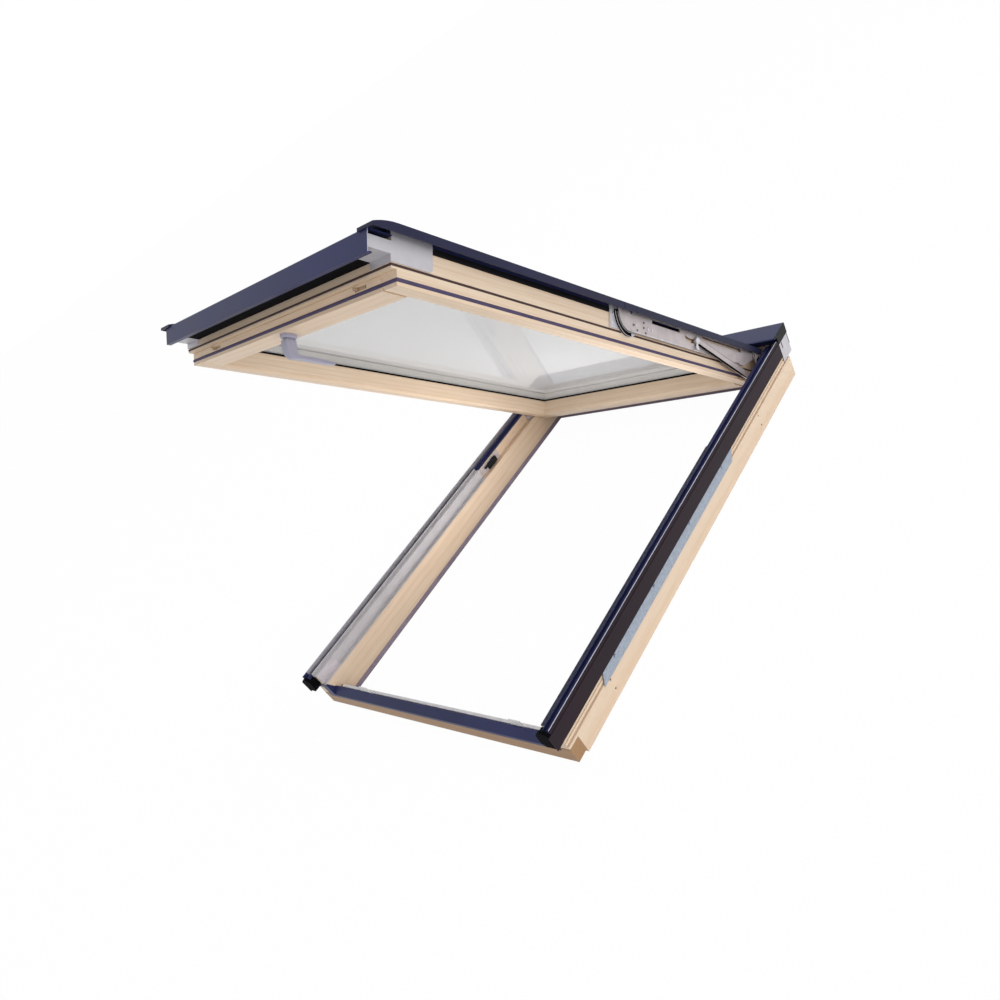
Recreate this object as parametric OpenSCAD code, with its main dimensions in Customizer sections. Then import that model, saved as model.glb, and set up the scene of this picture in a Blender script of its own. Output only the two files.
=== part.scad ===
// Roof window: pine frame and top-hung pivoting sash with metal covers.
// X runs across the window, Y up the slope from the sill's outer edge, Z out of the roof.
// The sill's back lies on Z = 0. The sash is drawn shut and then swung open.

/* [Frame] */
// Width over the frame's jambs
frame_w = 780; // [660:10:1140]
// Length of the frame along the slope
frame_l = 1180; // [980:10:1400]
// Thickness of a jamb across the window
jamb_t = 45; // [40:1:60]
// Height of the jambs from back to front
jamb_h = 100; // [96:1:104]
// Height of the step where the jamb's rebate starts
rebate_z = 73; // [66:1:73]
// Depth of the jamb's rebate
rebate_d = 15; // [14:0.5:18]
// Depth of the sill along the slope
sill_d = 30; // [27:1:31]
// Height of the sill's wood
sill_h = 38; // [34:1:39]
// Thickness of the head rail along the slope
head_t = 33; // [25:1:45]
// Wall of the metal covers on the frame
sheet_t = 1.5; // [1:0.1:2]
// Overhang of the jamb covers below the sill
cover_drop = 22; // [10:1:30]
// Reach of the jambs and head behind the sill's back
back_drop = 9; // [6:1:12]
// Height of the lining profile at the frame's back edge
lining_h = 14; // [10:1:16]
// Depth of the lining profile in the wood
lining_d = 8; // [5:1:10]

/* [Sash] */
// Gap between the sash and the jambs
sash_gap = 7; // [6:0.5:8]
// Height of the sash's inner face above the frame's back
sash_z = 44; // [42:1:46]
// Depth of the sash wood
sash_h = 68; // [66:1:69]
// Width of a sash stile
stile_w = 35; // [30:1:45]
// Width of the sash's top and bottom rails
rail_w = 51; // [47:1:60]
// Start of the sash above the sill's outer edge
sash_y = 14; // [14:0.5:16]
// Depth of the step under the bottom rail's upper seal
bottom_step = 10; // [6:1:11]
// Gap between the sash and the head rail
head_gap = 6; // [5:0.5:9]
// Thickness of the glass unit
glass_t = 24; // [20:1:26]
// Thickness of one pane
pane_t = 4; // [3:0.5:6]
// Bite of the glass in the sash rebate
glass_bite = 12; // [8:1:14]
// Width of the lower seal seen on the sash edge
seal_w = 6; // [4:0.5:6]
// Width of the upper seal seen on the sash edge
upper_seal_w = 4; // [3:0.5:5]
// Height of the lower seal above the sash's inner face
seal_low = 6; // [5:0.5:6]
// Height of the upper seal above the sash's inner face
seal_high = 26.5; // [26:0.5:31]
// Depth of the seals in the sash wood
seal_deep = 5; // [3:0.5:5]

/* [Sash covers] */
// Overlap of the side covers past the sash wood
cover_over = 21; // [20:0.5:21]
// Width of a side cover
cover_w = 37; // [30:1:45]
// Height of a side cover's edge
cover_edge = 13; // [11:0.5:14]
// Wall of the sash covers
cover_t = 2; // [1:0.5:2.5]
// Reach of the bottom cover below the sill's outer edge
nose_reach = 30; // [26:1:36]
// Height of the bottom cover's front face
nose_h = 34; // [28:1:36]

/* [Motion] */
// Angle at which the sash is drawn open
open_angle = 43; // [0:1:45]
// Widest opening angle that the struts allow
max_open = 45; // [43:1:45]
// Distance of the top hinge from the frame's top end
hinge_from_top = 75; // [70:1:85]
// Height of the top hinge axis
hinge_z = 112; // [111:0.5:112]
// Distance of the pivot hinge from the sill's outer edge
pivot_y = 595; // [560:1:660]
// Height of the pivot hinge axis
pivot_z = 114; // [113.5:0.5:114]
// Radius of the hinge pins
pin_r = 4; // [3:0.1:4]
// Running clearance of a pin in its eye
pin_fit = 0.05; // [0.02:0.01:0.08]
// Thickness of the lift arms
arm_t = 3; // [2.5:0.1:3]
// Radius of the arm's round end at the pivot hinge
arm_end_r = 38; // [36:0.5:38]
// Width of the curved guide at the pivot hinge
guide_w = 8; // [5:0.5:8]
// Thickness of the struts
strut_t = 3; // [2:0.1:3]
// Width of the struts
strut_w = 16; // [13:0.5:16]
// Distance of the strut's foot from the top hinge along the slope
foot_from_hinge = 57; // [52:1:62]
// Height of the strut's foot pin
foot_z = 82; // [82:0.5:86]
// Distance of the strut's slot pin from the top hinge when open
slot_near = 263; // [240:1:280]
// Height of the slot pin above the frame's back when shut
slot_z = 98; // [96:0.5:100]
// Degrees that the strut turns for each degree of the arm
strut_ratio = 1.16; // [1.15:0.01:1.17]

/* [Handle and lock] */
// Distance of the handle's axis from the sash's lower edge
handle_from_edge = 32; // [31:0.5:35]
// Length of the handle's lever
lever_l = 98; // [70:1:120]
// Stand-off of the lever from the sash
lever_off = 40; // [32:1:42]
// Radius of the handle's journal
journal_r = 6; // [5:0.1:6.2]
// Travel of the latch bar
latch_travel = 18; // [14:1:20]
// Distance of the latch studs from the stiles' inner sides
stud_x = 63; // [45:1:140]
// Radius of a latch stud
stud_r = 2.5; // [2:0.1:2.8]
// Distance of the mode selector from the top hinge
selector_from_hinge = 305; // [290:1:330]
// Travel of the mode selector
selector_travel = 18; // [14:1:18]

/* [Mounting] */
// Radius of the bracket screw holes in the jambs
fix_r = 2.5; // [1.5:0.1:3.5]
// Depth of the bracket screw holes
fix_depth = 22; // [12:1:28]
// Height of the lower row of bracket holes
fix_z = 11; // [9:0.5:13]
// Distance between the rows of bracket holes
fix_dz = 25; // [16:1:28]
// Place of the lower bracket from the sill's outer edge
fix_y = 161; // [90:1:240]
// Distance between the brackets along the slope
fix_dy = 791; // [500:1:800]

/* [Hidden] */
$fn = 48;

// Colours as the window shows them
pine = [0.87, 0.76, 0.61];
cover_blue = [0.26, 0.27, 0.38];
steel = [0.68, 0.66, 0.67];
pale_steel = [0.8, 0.79, 0.82];
rubber = [0.28, 0.24, 0.36];
black = [0.08, 0.08, 0.09];
brown_black = [0.26, 0.2, 0.22];
glass = [0.84, 0.86, 0.85];

// Places of the frame
half_w = frame_w / 2;
inner_x = half_w - jamb_t;
rebate_x = inner_x + rebate_d;
head_y = frame_l - head_t;
wood_step = 6;
wood_step_z = jamb_h - 31;
lining_top = lining_h - back_drop;
rib_x = half_w - 18;
rib_z = jamb_h + 8;
rim_z = jamb_h + 12;
cover_x = half_w + 2;
slop = 0.3;

// Places of the sash, shut
sash_x = inner_x - sash_gap;
sash_top = head_y - head_gap;
sash_front = sash_z + sash_h;
sight_x = sash_x - stile_w;
sight_low = sash_y + bottom_step + rail_w;
sight_high = sash_top - rail_w;
ledge_z = sash_front - glass_t;
gasket_t = 1;
pane_x = sight_x + glass_bite;
pane_low = sight_low - glass_bite;
pane_high = sight_high + glass_bite;
rebate_play = 1;
cap_z = sash_front + 8;
cap_top = cap_z + cover_t;
cover_side = sash_x + cover_over;
nose_top = cap_top - cover_edge + 3;
nose_side = sash_x + 3;

// Places of the mechanism, side layers counted outwards from the sash
hinge_y = frame_l - hinge_from_top;
plate_t = 2;
plate_x = sash_x + plate_t;
arm_x = sash_x + 5;
strut_x = arm_x + arm_t + 1.5;
bracket_x = strut_x + strut_t + 1.5;
arm_low = 76;
eye_r = 10;
guide_r = arm_end_r + 1;
split_up = arm_end_r - 1.5;
split_low = arm_end_r;
foot_y = hinge_y - foot_from_hinge;
slot_drop = slot_z - hinge_z;
open_pin = swing([-slot_near, slot_drop], max_open);
foot_to_pin = open_pin - [-foot_from_hinge, foot_z - hinge_z];
strut_l = norm(foot_to_pin);
strut_open = atan2(foot_to_pin[1], -foot_to_pin[0]);

// Places of the handle and lock
handle_y = sash_y + handle_from_edge;
latch_z = sash_z + 17;
latch_y = sash_y + bottom_step + 1;
stud_at = sight_x - stud_x;
bar_d = 5;
keep_y = 16.5;
keep_t = 2.5;
selector_y = hinge_y - selector_from_hinge;
selector_x = bracket_x + 0.5;
catch_z = arm_low + 7;
catch_r = 3;

// Turns a point of the sash's side view about the hinge by an opening angle
function swing(p, a) = [p[0] * cos(a) + p[1] * sin(a), p[1] * cos(a) - p[0] * sin(a)];

// Angle of the strut when the arm is opened by a
function strut_angle(a) = strut_open - strut_ratio * (max_open - a);

// Place of the slot pin on the arm, with the arm opened by a
function slot_point(a) =
    [hinge_y, hinge_z] + swing([-foot_from_hinge, foot_z - hinge_z]
    + strut_l * [-cos(strut_angle(a)), sin(strut_angle(a))], -a);

// Runs a profile drawn in X and Z along Y
module along_y(y0, y1) {
    translate([0, y1, 0]) rotate([90, 0, 0]) linear_extrude(y1 - y0) children();
}

// Runs a profile drawn in Y and Z along X
module along_x(x0, x1) {
    translate([x0, 0, 0]) rotate([90, 0, 90]) linear_extrude(x1 - x0) children();
}

// Box between two corners
module box(low, high) {
    translate(low) cube(high - low);
}

// Pin along X at a place of the side view
module pin(y, z, r, x0, x1) {
    translate([x0, y, z]) rotate([0, 90, 0]) cylinder(r = r, h = x1 - x0);
}

// Right side and its mirror image
module pair() {
    children();
    mirror([1, 0, 0]) children();
}

// Left side only
module left() {
    mirror([1, 0, 0]) children();
}

// Rectangular ring around the opening
module ring(x_out, y_out, x_in, y_in, z0, z1) {
    difference() {
        box([-x_out, y_out[0], z0], [x_out, y_out[1], z1]);
        box([-x_in, y_in[0], z0 - 1], [x_in, y_in[1], z1 + 1]);
    }
}

// Swings the shut sash or arm open about the top hinge
module opened() {
    translate([0, hinge_y, hinge_z]) rotate([-open_angle, 0, 0])
        translate([0, -hinge_y, -hinge_z]) children();
}

// Jamb with its rebate, grooves, sill lap, lining rebate and bracket holes
module jamb() {
    groove_z = [wood_step_z - 25, wood_step_z - 21];
    groove_d = 5;
    lip_x = half_w - 2;
    line_d = 2;
    lines = [for (z = [wood_step_z - 15, wood_step_z - 8])
        each [[lip_x, z], [lip_x - line_d, z], [lip_x - line_d, z + line_d], [lip_x, z + line_d]]];
    difference() {
        along_y(0, frame_l) polygon(concat(
            [[half_w, -back_drop], [half_w, groove_z[0]], [half_w - groove_d, groove_z[0]],
             [half_w - groove_d, groove_z[1]], [lip_x, groove_z[1]]],
            lines,
            [[lip_x, wood_step_z], [half_w - wood_step, wood_step_z], [half_w - wood_step, jamb_h],
             [rebate_x, jamb_h], [rebate_x, rebate_z], [inner_x, rebate_z], [inner_x, lining_top],
             [inner_x + lining_d, lining_top], [inner_x + lining_d, -back_drop]]
        ));
        box([inner_x - 1, -1, -back_drop - 1], [half_w + 1, sill_d, sill_h]);
        for (dy = [0, fix_dy], dz = [0, fix_dz])
            pin(fix_y + dy, fix_z + dz, fix_r, half_w - fix_depth, half_w + 1);
    }
}

module left_jamb() { color(pine) left() jamb(); }

module right_jamb() { color(pine) jamb(); }

// Sill lapped under both jambs
module sill() {
    chamfer = 3;
    color(pine) along_x(-half_w, half_w)
        polygon([[0, 0], [sill_d, 0], [sill_d, sill_h], [chamfer, sill_h], [0, sill_h - chamfer]]);
}

// Head rail between the jambs
module head_rail() {
    color(pine) difference() {
        box([-inner_x, head_y, -back_drop], [inner_x, frame_l, jamb_h]);
        box([-inner_x - 1, head_y - 1, -back_drop - 1], [inner_x + 1, head_y + lining_d, lining_top]);
    }
}

// Sloped metal nose on the sill, with flaps turned up at the jambs
module sill_cover() {
    back_y = keep_y - 0.5;
    top_z = sill_h + 14;
    lip_z = sill_h - 8;
    slope_z = sill_h - 1.5;
    flap_t = 1;
    flap_in = inner_x - flap_t;
    flap_out = half_w - wood_step - 0.5;
    low_out = inner_x + 20;
    shoulder_z = rebate_z - 10;
    color(cover_blue) {
        along_x(-inner_x, inner_x) polygon([
            [-sheet_t, lip_z], [-sheet_t, slope_z], [back_y - 2.5, top_z], [back_y, top_z],
            [back_y, sill_h], [back_y - sheet_t, sill_h], [back_y - sheet_t, top_z - sheet_t],
            [back_y - 1.8, top_z - sheet_t], [0, slope_z - 0.5], [0, lip_z]
        ]);
        pair() {
            along_y(-sheet_t, 0) polygon([
                [flap_in, lip_z], [low_out, lip_z], [low_out, shoulder_z], [flap_out, shoulder_z],
                [flap_out, rebate_z], [flap_in, rebate_z]
            ]);
            along_x(flap_in, inner_x) polygon([
                [-sheet_t, sill_h], [-sheet_t, rebate_z], [3, rebate_z], [back_y - 2.5, top_z],
                [back_y, top_z], [back_y, sill_h]
            ]);
        }
    }
}

// Jamb cover: outer side with a rim, drain channel with a rib, and a ledge beside the upper half
plate_y = [1, selector_y - 35];
plug_head = 8;
module jamb_cover() {
    floor_z = jamb_h + sheet_t;
    inner = cover_x - sheet_t;
    foot_x = half_w - wood_step;
    color(cover_blue) {
        along_y(plug_head - cover_drop, head_y - 4) polygon([
            [foot_x, wood_step_z], [cover_x, wood_step_z], [cover_x, rim_z], [inner, rim_z], [inner, floor_z],
            [rib_x + 2 * sheet_t, floor_z], [rib_x + 2 * sheet_t, rib_z], [rib_x + sheet_t, rib_z],
            [rib_x + sheet_t, jamb_h], [inner, jamb_h], [inner, wood_step_z + sheet_t],
            [foot_x, wood_step_z + sheet_t]
        ]);
        box([rebate_x + 1, plate_y[1] + 1, jamb_h], [rib_x + 2 * sheet_t, head_y - 4, floor_z]);
    }
}

module left_jamb_cover() { left() jamb_cover(); }

module right_jamb_cover() { jamb_cover(); }

// Brown-black skirts on the outer sides of the jamb covers
module cover_skirts() {
    color(brown_black) pair()
        box([cover_x, -cover_drop - 1, wood_step_z - 2], [cover_x + sheet_t, head_y - 4, jamb_h + 3]);
}

// Head hood: cover plate, back drop and the web that stands on the head rail
hood_lip = head_y - 19;
hood_top = cap_top + 4;
hood_back = frame_l + 18;
module head_hood() {
    back_low = 70;
    web_y = head_y + 4;
    color(cover_blue) along_x(-cover_x, cover_x) polygon([
        [hood_lip, hood_top - 1], [hood_lip, hood_top - 3], [hood_lip + 2, hood_top - sheet_t],
        [hood_back - sheet_t, hood_top - sheet_t], [hood_back - sheet_t, back_low], [hood_back, back_low],
        [hood_back, hood_top], [hood_lip + 4, hood_top]
    ]);
    color(cover_blue) box([wood_step - half_w, web_y, jamb_h],
        [half_w - wood_step, web_y + sheet_t, hood_top - sheet_t]);
}

// Closing plates at the hood's ends
module hood_ends() {
    lip_low = max(hood_top - 8, jamb_h + 4);
    color(black) pair() along_x(cover_x, cover_x + sheet_t) polygon([
        [head_y - 4, jamb_h], [head_y - 4, lip_low], [hood_lip, max(lip_low, hood_top - 3)],
        [hood_lip, hood_top], [hood_back, hood_top], [hood_back, jamb_h]
    ]);
}

// Black plugs in the lower ends of the jamb covers, with a round head
module cover_end_caps() {
    low = wood_step_z + sheet_t;
    inner = rebate_x + 1;
    bevel = 8;
    head_r = (cover_x - inner) / 2;
    head_z = rim_z - head_r;
    color(black) pair() {
        along_y(plug_head - cover_drop, -sheet_t) polygon([
            [inner, low + bevel], [inner + bevel, low], [cover_x - sheet_t, low],
            [cover_x - sheet_t, jamb_h], [inner, jamb_h]
        ]);
        along_y(-cover_drop, plug_head - cover_drop) {
            translate([inner + head_r, head_z]) circle(head_r);
            polygon([
                [inner, low + bevel], [inner + bevel, low], [cover_x, low], [cover_x, head_z], [inner, head_z]
            ]);
        }
    }
}

// Grey metal lining of the rebate and ledge on the lower half, and of the rim
module rebate_plates() {
    floor_z = jamb_h + sheet_t;
    wall = rebate_x - sheet_t;
    rim = cover_x - sheet_t;
    color(pale_steel) pair() {
        along_y(plate_y[0], plate_y[1]) polygon([
            [inner_x + 0.5, rebate_z], [rebate_x, rebate_z], [rebate_x, jamb_h], [rib_x + sheet_t, jamb_h],
            [rib_x + sheet_t, rib_z], [rib_x, rib_z], [rib_x, floor_z], [wall, floor_z],
            [wall, rebate_z + sheet_t], [inner_x + 0.5, rebate_z + sheet_t]
        ]);
        box([rim - 1, plate_y[0], floor_z], [rim, head_y - 10, rim_z]);
    }
}

// Galvanised strips on the outer sides of the jambs
strip_y = [140, 800];
strip_z = [wood_step_z - 29, wood_step_z - 3];
module side_strips() {
    slant = 14;
    color(steel) pair() along_x(half_w, half_w + sheet_t) polygon([
        [strip_y[0], strip_z[0]], [strip_y[0] + slant, strip_z[1]],
        [strip_y[1], strip_z[1]], [strip_y[1] - slant, strip_z[0]]
    ]);
}

// Screw heads along the galvanised strips
module strip_screws() {
    count = 4;
    head_r = 3.5;
    inset = 60;
    step = (strip_y[1] - strip_y[0] - 2 * inset) / (count - 1);
    color(steel) pair() for (i = [0 : count - 1])
        pin(strip_y[0] + inset + i * step, strip_z[1] - 6, head_r, half_w + sheet_t, half_w + sheet_t + 1.8);
}

// Pale plates on the outer sides under the hood
module head_corner_plates() {
    color(pale_steel) pair()
        box([half_w, head_y, 50], [half_w + sheet_t, hood_back - sheet_t, hood_top - sheet_t]);
}

// Rubber seal on the sill
module frame_seal() {
    color(rubber) box([-sash_x + 8, sill_d - 8, sill_h], [sash_x - 8, sill_d - 1, sash_z - slop]);
}

// Grey lining profile along the back edges of the opening
module lining_profile() {
    color([0.55, 0.5, 0.56]) {
        pair() box([inner_x, sill_d, -back_drop], [inner_x + lining_d, frame_l, lining_top]);
        box([-inner_x, head_y, -back_drop], [inner_x, head_y + lining_d, lining_top]);
    }
}

// Brackets that stand in the rebate and hold the top hinge
module hinge_brackets() {
    half = 9;
    top_r = pin_r + 2.5;
    foot = 25;
    color(steel) pair() {
        difference() {
            union() {
                along_x(strut_x, strut_x + strut_t) polygon([
                    [hinge_y - half, rebate_z], [hinge_y + half, rebate_z],
                    [hinge_y + half, hinge_z - 4], [hinge_y + top_r, hinge_z],
                    [hinge_y - top_r, hinge_z], [hinge_y - half, hinge_z - 4]
                ]);
                pin(hinge_y, hinge_z, top_r, strut_x, strut_x + strut_t);
            }
            pin(hinge_y, hinge_z, pin_r, strut_x - 1, strut_x + strut_t + 1);
        }
        box([strut_x + strut_t, hinge_y - foot, rebate_z], [rebate_x, hinge_y + foot, rebate_z + 3]);
    }
}

// Hinge pins held in the brackets
module hinge_pins() {
    color(pale_steel) pair() {
        pin(hinge_y, hinge_z, pin_r, arm_x - 1, strut_x + strut_t);
        pin(hinge_y, hinge_z, pin_r + 2, strut_x + strut_t, strut_x + strut_t + 1.5);
    }
}

// Plates on the rebate wall that carry the struts
module strut_brackets() {
    half = 18;
    color(steel) pair() difference() {
        box([bracket_x, foot_y - half, rebate_z], [rebate_x, foot_y + half, foot_z + 9]);
        pin(foot_y, foot_z, pin_r, bracket_x - 1, rebate_x + 1);
    }
}

// Foot pins of the struts
module strut_foot_pins() {
    color(pale_steel) pair() pin(foot_y, foot_z, pin_r, strut_x - 1, rebate_x);
}

// Keeps on the sill that the latch studs slide into
module latch_keeps() {
    start = stud_r + 2.5;
    reach = latch_travel + 2 * stud_r + 6;
    slot = stud_r + 0.6;
    foot = 5;
    color(steel) for (s = [-1, 1]) translate([s * stud_at, 0, 0]) {
        difference() {
            box([start, keep_y, sill_h], [start + reach, keep_y + keep_t, latch_z + 5.5]);
            box([start - 1, keep_y - 1, latch_z - slot],
                [latch_travel + slot + 0.5, keep_y + keep_t + 1, latch_z + slot]);
        }
        box([start, keep_y + keep_t, sill_h], [start + reach, sill_d - 8.5, sill_h + 2]);
    }
}

// Guide plate of the mode selector on the left jamb
selector_nose = 14;
selector_l = 42;
module selector_track() {
    spare = 20;
    color(steel) left() box([rebate_x - sheet_t, selector_y - selector_nose - selector_travel, rebate_z + 2],
        [rebate_x, selector_y + selector_l + spare, jamb_h - 2]);
}

// Lift arm: plate with the hinge eye, the strut slot and the round pivot end
module arm() {
    steps = 18;
    slot_r = pin_r + 2 * slop;
    path = [for (i = [0 : steps]) slot_point(max_open * i / steps)];
    upper = [for (p = path) p + [0, slot_r]];
    lower = [for (i = [steps : -1 : 0]) path[i] - [0, slot_r]];
    taper = 45;
    windows = [[pivot_y + 75, path[0][0] - 25], [path[steps][0] + 25, hinge_y - 60]];
    difference() {
        intersection() {
            union() {
                along_x(arm_x, arm_x + arm_t) polygon([
                    [pivot_y, arm_low], [hinge_y - taper, arm_low], [hinge_y + eye_r, hinge_z - eye_r],
                    [hinge_y + eye_r, cap_z], [pivot_y, cap_z]
                ]);
                pin(pivot_y, pivot_z, arm_end_r, arm_x, arm_x + arm_t);
            }
            box([arm_x - 1, pivot_y - arm_end_r - 1, 0], [arm_x + arm_t + 1, frame_l, cap_z]);
        }
        pin(hinge_y, hinge_z, pin_r + pin_fit, arm_x - 1, arm_x + arm_t + 1);
        pin(pivot_y, pivot_z, pin_r + pin_fit, arm_x - 1, arm_x + arm_t + 1);
        along_x(arm_x - 1, arm_x + arm_t + 1) polygon(concat(upper, lower));
        for (w = windows)
            box([arm_x - 1, w[0], cap_z - 16], [arm_x + arm_t + 1, w[1], cap_z - 8]);
        for (p = [path[0], path[steps]])
            pin(p[0], p[1], slot_r, arm_x - 1, arm_x + arm_t + 1);
    }
}

module left_arm() { color(steel) opened() left() arm(); }

module right_arm() { color(steel) opened() arm(); }

// Side cover section between two places along the slope
module side_cover(y0, y1, inner) {
    along_y(y0, y1) polygon([
        [inner, cap_z], [cover_side - cover_t, cap_z], [cover_side - cover_t, cap_top - cover_edge],
        [cover_side, cap_top - cover_edge], [cover_side, cap_top], [inner, cap_top]
    ]);
}

// Upper side cover, carried by the arm and clear of the sash beside the pivot
module upper_cover() {
    clear = 34;
    side_cover(pivot_y - split_up, pivot_y + clear, plate_x + 0.8);
    side_cover(pivot_y + clear, hinge_y + 17, cover_side - cover_w);
}

module left_upper_cover() { color(cover_blue) opened() left() upper_cover(); }

module right_upper_cover() { color(cover_blue) opened() upper_cover(); }

// Rivets that fix the upper covers' clips to the arms
module arm_rivets() {
    color(pale_steel) opened() pair() for (y = [pivot_y + 18, pivot_y + 60, pivot_y + 74])
        pin(y, arm_low + 14, 3, arm_x + arm_t, arm_x + arm_t + 1.2);
}

// Catch pin on the left arm that the mode selector can hold down
module catch_pin() {
    color(pale_steel) opened() left()
        pin(selector_y - selector_nose - selector_travel / 2, catch_z, catch_r,
            arm_x + arm_t, selector_x + 2.5);
}

// Strut with its two eyes, turned to the drawn angle
module strut() {
    bend = strut_w / 2;
    translate([0, foot_y, foot_z]) rotate([-strut_angle(open_angle), 0, 0]) difference() {
        union() {
            box([strut_x, -strut_l, -bend], [strut_x + strut_t, 0, bend]);
            for (y = [0, -strut_l]) pin(y, 0, bend, strut_x, strut_x + strut_t);
        }
        pin(0, 0, pin_r + pin_fit, strut_x - 1, strut_x + strut_t + 1);
        pin(-strut_l, 0, pin_r, strut_x - 1, strut_x + strut_t + 1);
    }
}

module left_strut() { color(steel) left() strut(); }

module right_strut() { color(steel) strut(); }

// Pins of the struts that run in the arms' slots
module slot_pins() {
    color(pale_steel) pair() translate([0, foot_y, foot_z]) rotate([-strut_angle(open_angle), 0, 0])
        pin(-strut_l, 0, pin_r, arm_x - 1, strut_x + strut_t);
}

// Seal groove in an edge, from a height above the sash's inner face
function groove(edge, sign, z, w) = [
    [edge, sash_z + z], [edge - sign * seal_deep, sash_z + z],
    [edge - sign * seal_deep, sash_z + z + w], [edge, sash_z + z + w]
];

// Outer side of a sash member with its two seal grooves and the step between them, from the inner face up
step_h = seal_high - 3;
function grooved(low_edge, edge, sign) = concat(
    groove(low_edge, sign, seal_low, seal_w),
    low_edge == edge ? [] : [[low_edge, sash_z + step_h], [edge, sash_z + step_h]],
    groove(edge, sign, seal_high, upper_seal_w)
);

// Sash stile with glass rebate, seal grooves and a chamfered inner edge
module stile() {
    chamfer = 6;
    low_end = sash_y + bottom_step;
    difference() {
        along_y(sash_y, sash_top) polygon(concat(
            [[sight_x + chamfer, sash_z], [sash_x, sash_z]], grooved(sash_x, sash_x, 1),
            [[sash_x, sash_front], [pane_x + rebate_play, sash_front],
             [pane_x + rebate_play, ledge_z - gasket_t], [sight_x, ledge_z - gasket_t],
             [sight_x, sash_z + chamfer]]
        ));
        box([sight_x - 1, sash_y - 1, sash_z - 1], [sash_x + 1, low_end, sash_z + step_h]);
        for (end = [low_end, sash_top])
            box([sight_x - 1, end - seal_deep, sash_z + seal_low],
                [sash_x + 1, end + seal_deep, sash_z + seal_low + seal_w]);
        for (end = [sash_y, sash_top])
            box([sight_x - 1, end - seal_deep, sash_z + seal_high],
                [sash_x + 1, end + seal_deep, sash_z + seal_high + upper_seal_w]);
    }
}

module left_stile() { color(pine) opened() left() stile(); }

module right_stile() { color(pine) opened() stile(); }

// Rail from an outer edge towards the glass; sign is 1 at the top, -1 at the bottom
module rail(low_edge, edge, sight, bite, sign) {
    chamfer = 6;
    ledge = ledge_z - gasket_t;
    along_x(-sight_x, sight_x) polygon(concat(
        [[sight + sign * chamfer, sash_z], [low_edge, sash_z]], grooved(low_edge, edge, sign),
        [[edge, sash_front], [bite, sash_front], [bite, ledge], [sight, ledge], [sight, sash_z + chamfer]]
    ));
    for (s = [-1, 1]) {
        low = min(edge, bite);
        high = max(edge, bite);
        x0 = s > 0 ? sight_x : -pane_x - rebate_play;
        box([x0, low, ledge], [x0 + pane_x + rebate_play - sight_x, high, sash_front]);
    }
}

module top_rail() {
    color(pine) opened() rail(sash_top, sash_top, sight_high, pane_high + rebate_play, 1);
}

// Bottom rail with the latch groove, the gearbox pocket and the handle bore
module bottom_rail() {
    groove = stud_r + slop;
    color(pine) opened() difference() {
        rail(sash_y + bottom_step, sash_y, sight_low, pane_low - rebate_play, -1);
        box([-sight_x + 2, sash_y - 1, latch_z - groove], [sight_x - 2, latch_y + bar_d + slop, latch_z + groove]);
        box([-45, latch_y - 2, latch_z - groove], [45, handle_y + 13, latch_z + 11]);
        translate([0, handle_y, sash_z - 1]) cylinder(r = journal_r + 0.4, h = 20);
    }
}

// Panes of the sealed glass unit
module inner_pane() {
    color(glass, 0.5) opened()
        box([-pane_x, pane_low, ledge_z], [pane_x, pane_high, ledge_z + pane_t]);
}

module outer_pane() {
    color(glass, 0.5) opened()
        box([-pane_x, pane_low, sash_front - pane_t], [pane_x, pane_high, sash_front]);
}

// Spacer bar between the panes
module glass_spacer() {
    wide = 10;
    color(black) opened() ring(pane_x, [pane_low, pane_high], pane_x - wide,
        [pane_low + wide, pane_high - wide], ledge_z + pane_t, sash_front - pane_t);
}

// Flat gasket under the glass
module inner_gasket() {
    color(black) opened() ring(pane_x, [pane_low, pane_high], sight_x - 1,
        [sight_low - 1, sight_high + 1], ledge_z - gasket_t, ledge_z);
}

// Gasket on the outer pane, and black strips under the side covers
gasket_top = sash_front + 3;
module outer_gasket() {
    strip_t = 1.2;
    strip_h = 9;
    color(black) opened() {
        ring(pane_x, [pane_low, pane_high], sight_x - 2, [sight_low - 2, sight_high + 2],
            sash_front, gasket_top);
        pair() box([sash_x, bracket_back + 1, sash_front - strip_h],
            [sash_x + strip_t, pivot_y - wing - 1, sash_front]);
    }
}

// Metal cap that holds the glass, stepped over the gasket
module glazing_cap() {
    color(cover_blue) opened() {
        ring(sash_x, [sash_y, sash_top], sight_x - 3, [sight_low - 3, sight_high + 3],
            gasket_top, cap_z - slop);
        ring(sash_x, [sash_y, sash_top], pane_x + rebate_play,
            [pane_low - rebate_play, pane_high + rebate_play], sash_front, gasket_top);
    }
}

// Rubber seals set into the grooves around the sash
module edge_seal(low_end, z, w) {
    ring(sash_x, [low_end, sash_top], sash_x - seal_deep, [low_end + seal_deep, sash_top - seal_deep],
        sash_z + z, sash_z + z + w);
}

module inner_seal() { color(rubber) opened() edge_seal(sash_y + bottom_step, seal_low, seal_w); }

module middle_seal() { color([0.25, 0.17, 0.18]) opened() edge_seal(sash_y, seal_high, upper_seal_w); }

// Bottom cover: plate over the rail, front face and a turned-in lip
module bottom_cover() {
    lip = 8;
    front = -nose_reach;
    low = nose_top - nose_h;
    color(cover_blue) opened() along_x(-nose_side, nose_side) polygon([
        [sash_y, nose_top - cover_t], [sash_y, nose_top], [front + 1.5, nose_top], [front, nose_top - 1.5],
        [front, low], [front + lip, low], [front + lip, low + cover_t], [front + cover_t, low + cover_t],
        [front + cover_t, nose_top - cover_t]
    ]);
}

// Black panel that closes the bottom cover from below
module nose_liner() {
    color(black) opened() box([bracket_leg - sash_x + 1, cover_t - nose_reach, shelf_z],
        [sash_x - bracket_leg - 1, sash_y, shelf_z + cover_t]);
}

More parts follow.
